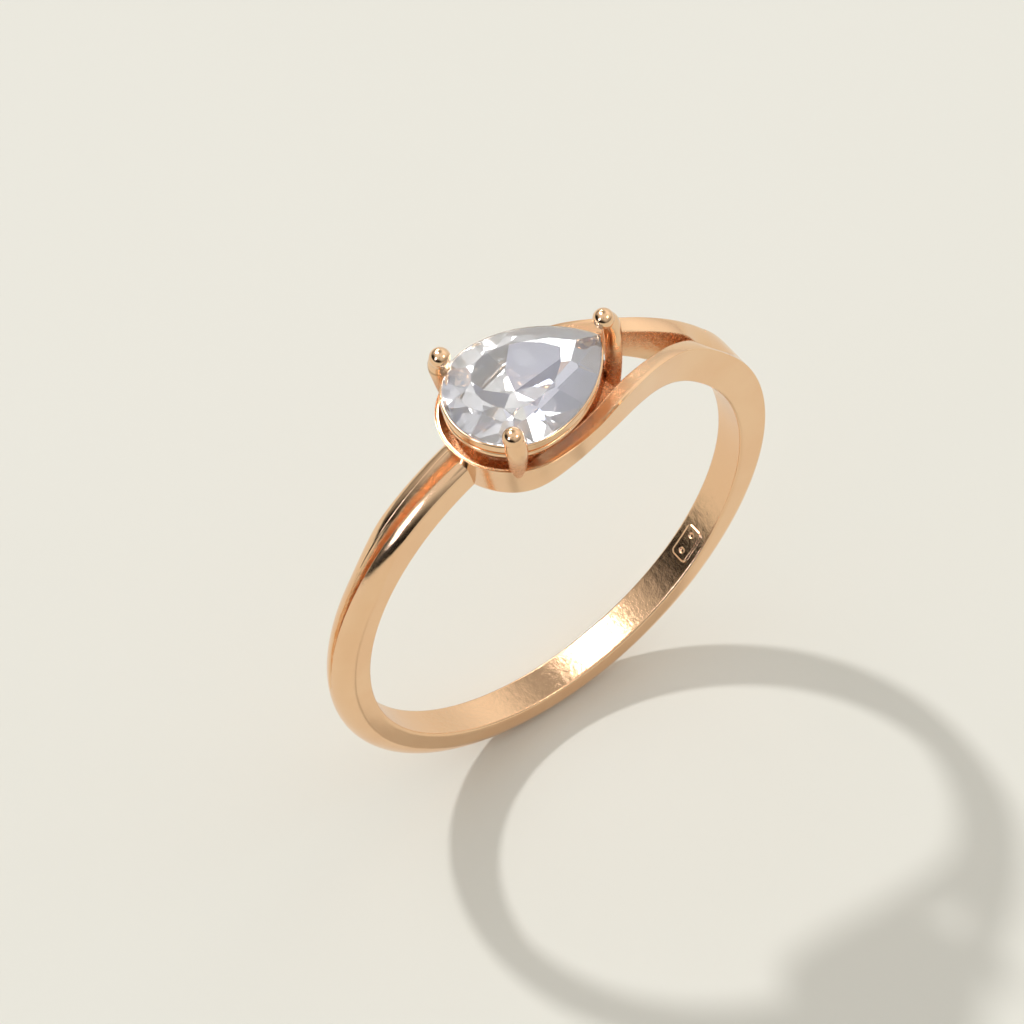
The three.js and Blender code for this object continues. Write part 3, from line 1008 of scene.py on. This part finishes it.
@dataclass
class Basket:
    """The two rails under the stone."""

    stone_left: float = -4.06
    stone_tip: float = 2.51
    stone_width: float = 4.94
    seat_section: tuple = (
        (0.06, 0.0), (0.06, -0.26), (0.02, -0.31), (-0.13, -0.34), (-0.13, -0.44), (0.0, -0.47),
        (0.0, -0.62), (-0.05, -0.67), (-0.14, -0.7), (-0.18, -0.95), (-0.2, -1.0), (-0.5, -1.0),
        (-0.56, -0.95), (-0.5, -0.45), (-0.2, -0.2), (-0.1, 0.0), (-0.05, 0.05), (0.02, 0.05),
    )
    seat_top: float = 10.88
    base_section: tuple = (
        (0.42, -0.68), (0.08, -0.62), (0.0, -0.06), (-0.08, 0.03), (-0.36, 0.03), (-0.43, 0.0),
        (-0.46, -0.06), (-0.5, -0.7), (-0.46, -0.76), (0.42, -0.76),
    )
    base_top: float = 9.42
    base_inset: float = 0.54
    base_reach: float = 0.2
    seat_points: int = 240
    base_points: int = 200
    edge_radius: float = 0.03
    polish_from: tuple = (10.4, 99.0)  # height above which each rail is polished, the base nowhere
    skin_and_shade_share: tuple = (0.4, 0.75)  # casting skin on each rail below that, whose darker colour also paints the shade in the pocket under the stone
    polish_blend: float = 0.4

    def rail(
        self,
        tree: bpy.types.NodeTree,
        gold: bpy.types.Material,
        name: str,
        outline: np.ndarray,
        section: tuple,
        top: float,
    ) -> bpy.types.Object:
        """Sweeps one rail round a pear outline.

        Args:
            tree: the sweep tree.
            gold: the metal.
            name: the piece's name.
            outline: points and normals of the pear.
            section: outward and upward places of the section's corners.
            top: height of the section's zero.

        Returns:
            The rail.
        """
        corners = np.array(section)
        soft = []
        for i, corner in enumerate(corners):
            after = corners[(i + 1) % len(corners)]
            soft += eased_corner(corners[i - 1], corner, after, self.edge_radius, 3)
        soft = np.array(soft)
        flat = np.c_[soft[:, 0], -soft[:, 1], np.zeros(len(soft))]  # a sweep turns y downwards
        path = np.c_[outline[:, :2], np.full(len(outline), top)]
        host = guide(name, path, flat, np.ones(len(path)), True)
        return baked(host, tree, {"Girth": 1.0, "Material": gold}, 45)

    def build(self, tree: bpy.types.NodeTree, gold: bpy.types.Material) -> list[bpy.types.Object]:
        """Makes the seat rail under the girdle and the base rail on the arms.

        Args:
            tree: the sweep tree.
            gold: the metal.

        Returns:
            The seat rail and the base rail.
        """
        seat = pear_outline(self.stone_left, self.stone_tip, self.stone_width, self.seat_points)
        base = pear_outline(
            self.stone_left + self.base_inset,
            self.stone_tip + self.base_reach,
            self.stone_width - 2 * self.base_inset,
            self.base_points,
        )
        return [
            self.rail(tree, gold, "seat_rail_band", seat, self.seat_section, self.seat_top),
            self.rail(tree, gold, "base_rail_band", base, self.base_section, self.base_top),
        ]

    def dress(self, pieces: list[bpy.types.Object], gold: bpy.types.Material) -> None:
        """Polishes the girdle's rim and leaves what lies under it as cast, with the cast colour there partly
        painted shade.

        Args:
            pieces: the seat rail and the base rail.
            gold: the metal.
        """
        nodes = ("seat_rail", "base_rail")
        for piece, node, start, skin in zip(pieces, nodes, self.polish_from, self.skin_and_shade_share):
            heights = np.array([v.co.z / MM for v in piece.data.vertices])
            # Painted shade in part: the cast colour darkens the rails low under the stone.
            mask = [skin * (1 - smoothstep(z, start - self.polish_blend, start)) for z in heights]
            point_attribute(piece, "cast_skin_and_shade", np.array(mask))
            settle(piece, gold, "rose_gold", node)


@dataclass
class Stone:
    """Pear brilliant, cut plane by plane from a block."""

    left: float = -4.06
    tip: float = 2.51
    width: float = 4.94
    centre: float = -1.59
    girdle: float = 11.0
    girdle_thick: float = 0.1
    crown: float = 0.74
    pavilion: float = 2.12
    keel: float = 2.6  # no pavilion facet lies flatter than one that starts this far out
    bezel_run: float = 2.85  # the same for the facets of the crown
    facet_play: float = 0.06  # how much neighbouring lower facets differ in slope
    table_share: float = 0.56
    star_slope: float = 0.62
    upper_slope: float = 1.17
    lower_slope: float = 1.13
    mains: tuple = (0, 15, 36, 66, 103, 142, 180, 218, 257, 294, 324, 345)  # degrees from the tip
    play_waves: int = 5  # how often the slope swings in one turn
    star_inset: float = 0.985  # of the table's edge, where the star facets start
    block_points: int = 96
    block_drop: float = 4.0  # the uncut block, below and above the girdle
    block_rise: float = 2.0
    fire_step: float = 0.618  # share of painted fire from one facet to the next
    fire_below: float = -0.1  # only facets whose normal dips under this get painted fire

    def outline_at(self, azimuth: float) -> tuple[np.ndarray, np.ndarray]:
        """Finds the outline seen from the round end's centre.

        Args:
            azimuth: degrees from the tip's direction.

        Returns:
            The point and its outward normal.
        """
        rows = pear_outline(self.left, self.tip, self.width, 1440)
        angles = np.degrees(np.arctan2(rows[:, 1], rows[:, 0] - self.centre))
        off = np.abs((angles - azimuth + 180) % 360 - 180)
        x, y, nx, ny = rows[int(np.argmin(off))]
        if abs(azimuth) < 0.5:
            nx, ny = 1.0, 0.0
        return np.array([x, y]), np.array([nx, ny])

    def planes(self) -> list[tuple[np.ndarray, np.ndarray]]:
        """Lays out the facets.

        Returns:
            Every facet's plane as a point and an outward normal.
        """
        low = self.girdle - self.girdle_thick
        spans = list(zip(self.mains, (*self.mains[1:], 360)))
        mids = [(a + b) / 2 for a, b in spans]
        quarters = [a + (b - a) * q for a, b in spans for q in (0.25, 0.75)]
        found = [(np.array([self.centre, 0.0, self.girdle + self.crown]), UP.copy())]

        def lean(azimuth: float, slope: float, height: float, sign: float) -> None:
            """Adds one facet that leans in from the girdle.

            Args:
                azimuth: degrees from the tip's direction.
                slope: steepness relative to a main facet.
                height: where it meets the girdle.
                sign: 1 for the crown and -1 for the pavilion.
            """
            point, normal = self.outline_at((azimuth + 180) % 360 - 180)
            run = float((point - np.array([self.centre, 0.0])) @ normal)
            deep = self.pavilion / min(run, self.keel)
            shallow = self.crown / ((1 - self.table_share) * min(run, self.bezel_run))
            play = 1 + self.facet_play * math.cos(math.radians(self.play_waves * azimuth))
            rise = slope * (shallow if sign > 0 else deep * play)
            n = np.array([normal[0] * rise, normal[1] * rise, sign])
            found.append((np.array([point[0], point[1], height]), n / np.linalg.norm(n)))

        for a in self.mains:
            lean(a, 1.0, self.girdle, 1.0)
            lean(a, 1.0, low, -1.0)
        for a in quarters:
            lean(a, self.upper_slope, self.girdle, 1.0)
            lean(a, self.lower_slope, low, -1.0)
        for a in mids:
            point, normal = self.outline_at((a + 180) % 360 - 180)
            middle = np.array([self.centre, 0.0])
            run = float((point - middle) @ normal)
            at = middle + (point - middle) * self.table_share * self.star_inset
            rise = self.star_slope * self.crown / ((1 - self.table_share) * run)
            n = np.array([normal[0] * rise, normal[1] * rise, 1.0])
            found.append((np.array([at[0], at[1], self.girdle + self.crown]), n / np.linalg.norm(n)))
        return found

    def build(self) -> bpy.types.Object:
        """Cuts the girdle block with each facet's plane in turn.

        Returns:
            The piece.
        """
        outline = pear_outline(self.left, self.tip, self.width, self.block_points)[:, :2]
        levels = (self.girdle - self.block_drop, self.girdle + self.block_rise)
        rings = np.array([np.c_[outline, np.full(self.block_points, z)] for z in levels])
        points, faces = loft(rings)
        block = bmesh.new()
        corners = [block.verts.new(p) for p in points]
        for face in faces:
            block.faces.new([corners[i] for i in face])
        for point, normal in self.planes():
            geometry = block.verts[:] + block.edges[:] + block.faces[:]
            cut = bmesh.ops.bisect_plane(
                block, geom=geometry, plane_co=point, plane_no=normal, clear_outer=True, dist=1e-6
            )
            edges = [e for e in cut["geom_cut"] if isinstance(e, bmesh.types.BMEdge)]
            if edges:
                bmesh.ops.contextual_create(block, geom=edges)
        bmesh.ops.remove_doubles(block, verts=block.verts, dist=2e-3)
        bmesh.ops.dissolve_degenerate(block, edges=block.edges, dist=1e-4)
        bmesh.ops.recalc_face_normals(block, faces=block.faces)
        bmesh.ops.transform(block, matrix=Matrix.Scale(MM, 4), verts=block.verts)
        mesh = bpy.data.meshes.new("pear_brilliant")
        block.to_mesh(mesh)
        block.free()
        piece = bpy.data.objects.new("pear_brilliant", mesh)
        bpy.context.scene.collection.objects.link(piece)
        return piece

    def dress(self, piece: bpy.types.Object, gem: bpy.types.Material) -> None:
        """Gives the stone its clear body, and each lower facet its own share of painted fire.

        Args:
            piece: the finished mesh.
            gem: the stone's finish.
        """
        fire_shares = [
            i * self.fire_step % 1.0 if face.normal.z < self.fire_below else 0.5
            for i, face in enumerate(piece.data.polygons)
        ]
        layer = piece.data.attributes.new("painted_fire_share", "FLOAT", "FACE")
        layer.data.foreach_set("value", np.array(fire_shares, np.float32))
        settle(piece, gem, "clear_stone", "stone")


@dataclass
class Claw:
    """One claw: a tapered post that bends over the girdle and ends in a ball."""

    name: str
    node: str
    spine: tuple  # points from the foot to the ball's centre
    girths: tuple  # the post's radius at each of them
    ball: float = 0.4
    post_steps: int = 40
    ball_steps: int = 26
    rows: int = 400  # fine rows from which the post's are taken
    round_points: int = 48
    foot_reach: float = 0.4  # of the first step, how far the closed foot goes on
    foot_taper: float = 0.75
    # casting skin at the foot, whose darker colour is partly painted shade
    skin_and_shade_share: float = 0.85
    cast_heights: tuple = (1.2, 2.6)  # above the foot, where the casting skin fades out

    def build(self, tree: bpy.types.NodeTree, gold: bpy.types.Material) -> bpy.types.Object:
        """Sweeps a circle up the spine and over the ball.

        Args:
            tree: the sweep tree.
            gold: the metal.

        Returns:
            The claw.
        """
        spine = np.c_[np.array(self.spine), np.array(self.girths)]
        rows = through_rows(spine, self.rows)
        centre = rows[-1, :3]
        away = np.linalg.norm(rows[:, :3] - centre, axis=1)
        inside = np.sqrt(np.clip(self.ball**2 - away**2, 0, None))
        join = int(np.argmax(inside >= rows[:, 3]))
        post = rows[np.linspace(0, join, self.post_steps).astype(int)]
        start = math.asin(min(rows[join, 3] / self.ball, 1.0))
        axis = rows[-1, :3] - rows[-20, :3]
        axis /= np.linalg.norm(axis)
        turn = np.linspace(math.pi - start, 0.02, self.ball_steps)[1:]
        ball = np.array(
            [np.r_[centre + axis * self.ball * math.cos(t), self.ball * math.sin(t)] for t in turn]
        )
        foot = post[0].copy()
        foot[:3] -= (post[1, :3] - post[0, :3]) * self.foot_reach
        foot[3] *= self.foot_taper
        every = np.vstack([foot, post, ball])
        angles = np.linspace(0, 2 * math.pi, self.round_points + 1)[:-1]
        circle = np.array([[math.cos(a), math.sin(a), 0.0] for a in angles])
        host = guide(self.name, every[:, :3], circle, every[:, 3], False)
        return baked(host, tree, {"Girth": 1.0, "Material": gold}, 60)

    def dress(self, piece: bpy.types.Object, gold: bpy.types.Material) -> None:
        """Polishes the ball and the upper post, and leaves the foot as cast, its cast colour partly painted
        shade low in the basket.

        Args:
            piece: the finished mesh.
            gold: the metal.
        """
        heights = np.array([v.co.z / MM for v in piece.data.vertices])
        start, end = (heights.min() + height for height in self.cast_heights)
        mask = [self.skin_and_shade_share * (1 - smoothstep(z, start, end)) for z in heights]
        point_attribute(piece, "cast_skin_and_shade", np.array(mask))
        settle(piece, gold, "rose_gold", self.node)


CLAWS = (
    Claw(
        "tip_claw",
        "prong_tip",
        (
            (2.62, -0.6, 8.4), (2.82, -0.4, 9.1), (2.98, -0.18, 9.9),
            (3.02, -0.04, 10.8), (2.9, 0.0, 11.5), (2.66, 0.0, 11.86),
        ),
        (0.27, 0.3, 0.33, 0.36, 0.37, 0.33),
    ),
    Claw(
        "front_claw",
        "prong_front",
        (
            (-2.72, -2.02, 8.9), (-2.84, -2.14, 9.6), (-2.98, -2.3, 10.5),
            (-3.08, -2.36, 11.25), (-3.13, -2.25, 11.8),
        ),
        (0.22, 0.3, 0.38, 0.42, 0.35),
    ),
    Claw(
        "back_claw",
        "prong_back",
        (
            (-2.7, 2.0, 8.9), (-2.8, 2.12, 9.6), (-2.92, 2.26, 10.5),
            (-3.02, 2.32, 11.25), (-3.06, 2.2, 11.8),
        ),
        (0.22, 0.3, 0.38, 0.42, 0.35),
    ),
)


# ---- Studio -------------------------------------------------------------------------------------


@dataclass
class Studio:
    """A pale table, a soft sky and soft boxes, and the camera."""

    table_z: float = -10.012
    table_size: float = 1600.0
    camera_at: tuple = (-88.942, -119.008, 206.523)
    azimuth: float = -36.7728
    elevation: float = 54.2689
    roll: float = -0.5904
    lens: float = 239.66
    shift: tuple = (-0.03384, 0.03428)
    key_energy: float = 1.32
    key_angle: float = 3.6  # degrees across, which sets how soft the shadow's edge is
    key_direction: tuple = (-0.103, 0.683, 0.723)
    box_distance: float = 0.5  # metres
    mirror_boxes: tuple = (
        ("overhead_box", (-0.1, 0.47, 0.88), (0.16, 0.14), 2.6, "ffffff"),
        ("back_box", (0.3, 0.82, 0.48), (0.13, 0.09), 2.4, "ffffff"),
        ("left_box", (-0.84, -0.05, 0.5), (0.1, 0.22), 2.2, "dde6ff"),
        ("front_box", (0.4, -0.58, 0.72), (0.14, 0.1), 2.2, "fff1e2"),
    )
    gem_boxes: tuple = (
        ("gem_box_right", (0.78, 0.27, 0.55), (0.26, 0.2), 1.0, "ffffff"),
        ("gem_box_back", (0.7, 0.65, 0.29), (0.26, 0.2), 1.0, "ffffff"),
    )
    sparkle_cards: int = 16  # seen only through the stone
    sparkle_size: float = 0.15
    sparkle_power: float = 1.6
    sky_patches: tuple = (  # direction, degrees where the patch is full and where it ends, level
        ((0, 0, 1), 10, 118, 0.85),
        ((1.0, 0.3, 0.1), 10, 70, 0.5),
        ((-0.85, -0.55, 0.12), 10, 44, -0.5),
        ((-0.35, -0.47, 0.81), 4, 11, -0.4),
        ((-0.8, 0.5, 0.25), 8, 34, -0.55),
        ((0.35, 0.47, 0.81), 8, 28, -0.56),
    )
    darkest: float = 0.015
    room_tint: str = "fffdf8"
    seen_colour: str = "efede4"  # what the camera sees behind the table, level and plain
    stone_only: bpy.types.Collection = field(
        default_factory=lambda: bpy.data.collections.new("stone_only")
    )

    def build_table(self) -> bpy.types.Object:
        """Lays the table just under the band.

        Returns:
            The table.
        """
        h = self.table_size / 2
        corners = np.array([[-h, -h], [h, -h], [h, h], [-h, h]])
        points = np.c_[corners, np.full(4, self.table_z)]
        table = mesh_piece("table_top", points, [(0, 1, 2, 3)], crease=0)
        if table.data.polygons[0].normal.z < 0:
            table.data.flip_normals()
        table.data.materials.append(PaleTable().build())
        return table

    def build_sky(self) -> None:
        """Makes a soft grey room, brighter to the right and dark in patches that the metal mirrors."""
        world = bpy.data.worlds.new("soft_room")
        bpy.context.scene.world = world
        world.use_nodes = True
        tree = world.node_tree
        tree.nodes.clear()
        way = add_node(tree, "ShaderNodeTexCoord").outputs["Generated"]
        light = None
        for direction, near, far, level in self.sky_patches:
            d = Vector(direction).normalized()
            along = add_node(tree, "ShaderNodeVectorMath", {"operation": "DOT_PRODUCT"}, i0=way, i1=d)
            glow = add_node(
                tree,
                "ShaderNodeMapRange",
                {"interpolation_type": "SMOOTHSTEP"},
                Value=along.outputs["Value"],
                From_Min=math.cos(math.radians(far)),
                From_Max=math.cos(math.radians(near)),
                To_Min=0.0,
                To_Max=level,
            ).outputs["Result"]
            light = (
                add_node(tree, "ShaderNodeMath", {"operation": "ADD"}, i0=light, i1=glow).outputs[0]
                if light is not None
                else glow
            )
        kept = add_node(tree, "ShaderNodeMath", {"operation": "MAXIMUM"}, i0=light, i1=self.darkest)
        warm = add_node(
            tree,
            "ShaderNodeVectorMath",
            {"operation": "SCALE"},
            i0=srgb(self.room_tint)[:3],
            Scale=kept.outputs[0],
        )
        seen = add_node(tree, "ShaderNodeBackground", Color=srgb(self.seen_colour), Strength=1.0)
        room = add_node(tree, "ShaderNodeBackground", Color=warm.outputs[0], Strength=1.0)
        ray = add_node(tree, "ShaderNodeLightPath").outputs["Is Camera Ray"]
        mix = add_node(
            tree, "ShaderNodeMixShader", Fac=ray, i1=room.outputs[0], i2=seen.outputs[0]
        )
        add_node(tree, "ShaderNodeOutputWorld", Surface=mix.outputs[0])

    def soft_box(
        self, name: str, direction: tuple, size: tuple, power: float, tint: str
    ) -> bpy.types.Object:
        """Hangs one soft box facing the ring.

        Args:
            name: the light's name.
            direction: from the ring towards the light.
            size: its width and height in metres.
            power: its radiance relative to the others.
            tint: its colour.

        Returns:
            The light.
        """
        data = bpy.data.lights.new(name, "AREA")
        data.shape = "ELLIPSE"
        data.size, data.size_y = size
        data.color = srgb(tint)[:3]
        data.energy = power * size[0] * size[1] * math.pi * 4
        light = bpy.data.objects.new(name, data)
        at = Vector(direction).normalized() * self.box_distance
        light.location = at
        light.rotation_euler = at.to_track_quat("Z", "Y").to_euler()
        light.visible_camera = False
        light.visible_diffuse = False  # a card for the metal and the stone to mirror
        bpy.context.scene.collection.objects.link(light)
        return light

    def build_lights(self) -> None:
        """Hangs the key light behind the ring, and soft boxes and small cards round it."""
        key = bpy.data.lights.new("key_light", "SUN")
        key.energy = self.key_energy
        key.angle = math.radians(self.key_angle)
        lamp = bpy.data.objects.new("key_light", key)
        lamp.rotation_euler = Vector(self.key_direction).to_track_quat("Z", "Y").to_euler()
        bpy.context.scene.collection.objects.link(lamp)
        for box in self.mirror_boxes:
            self.soft_box(*box)
        for i in range(self.sparkle_cards):
            # A sunflower's spacing spreads the cards evenly over the upper sky.
            a, e = math.radians(137.5 * i + 20), math.radians(32 + 50 * (i * 0.382 % 1))
            towards = (math.cos(a) * math.cos(e), math.sin(a) * math.cos(e), math.sin(e))
            size = (self.sparkle_size, self.sparkle_size)
            card = self.soft_box("sparkle_card_" + str(i), towards, size, self.sparkle_power, "ffffff")
            card.visible_glossy = False
        for gem_box in self.gem_boxes:
            lit = self.soft_box(*gem_box)
            lit.light_linking.receiver_collection = self.stone_only

    def build_camera(self) -> None:
        """Sets the camera down looking at the ring from above its front left."""
        a, e, roll = (math.radians(v) for v in (self.azimuth, self.elevation, self.roll))
        back = Vector((math.sin(a) * math.cos(e), -math.cos(a) * math.cos(e), math.sin(e)))
        level = Vector((math.cos(a), math.sin(a), 0))
        rise = back.cross(level)
        right = level * math.cos(roll) + rise * math.sin(roll)
        up = rise * math.cos(roll) - level * math.sin(roll)
        data = bpy.data.cameras.new("camera")
        data.lens = self.lens
        data.sensor_width = 36
        data.shift_x, data.shift_y = self.shift
        data.clip_start, data.clip_end = 0.01, 20
        camera = bpy.data.objects.new("camera", data)
        turn = Matrix((right, up, back)).transposed().to_4x4()
        camera.matrix_world = Matrix.Translation(Vector(self.camera_at) * MM) @ turn
        bpy.context.scene.collection.objects.link(camera)
        bpy.context.scene.camera = camera


# ---- Assembly -----------------------------------------------------------------------------------


def main() -> None:
    """Builds the studio and every sub-assembly in order."""
    logging.basicConfig(level=logging.INFO, format="%(message)s")
    bpy.context.scene.view_settings.view_transform = "Standard"
    studio = Studio()
    studio.build_camera()
    studio.build_table()
    studio.build_sky()
    studio.build_lights()
    gold, gem = RoseGold().build(), ClearGem().build()
    sizes = RingSizes()
    tree = sweep_tree()
    shank = Shank(sizes)
    shank.dress(shank.build(), gold)
    for side, run in ((Side.FRONT, FRONT_RUN), (Side.BACK, BACK_RUN)):
        arm = Arm(sizes, side, run)
        arm.dress(arm.build(), gold)
    basket = Basket()
    basket.dress(basket.build(tree, gold), gold)
    stone = Stone()
    brilliant = stone.build()
    stone.dress(brilliant, gem)
    studio.stone_only.objects.link(brilliant)
    for claw in CLAWS:
        claw.dress(claw.build(tree, gold), gold)


if __name__ == "__main__":
    main()
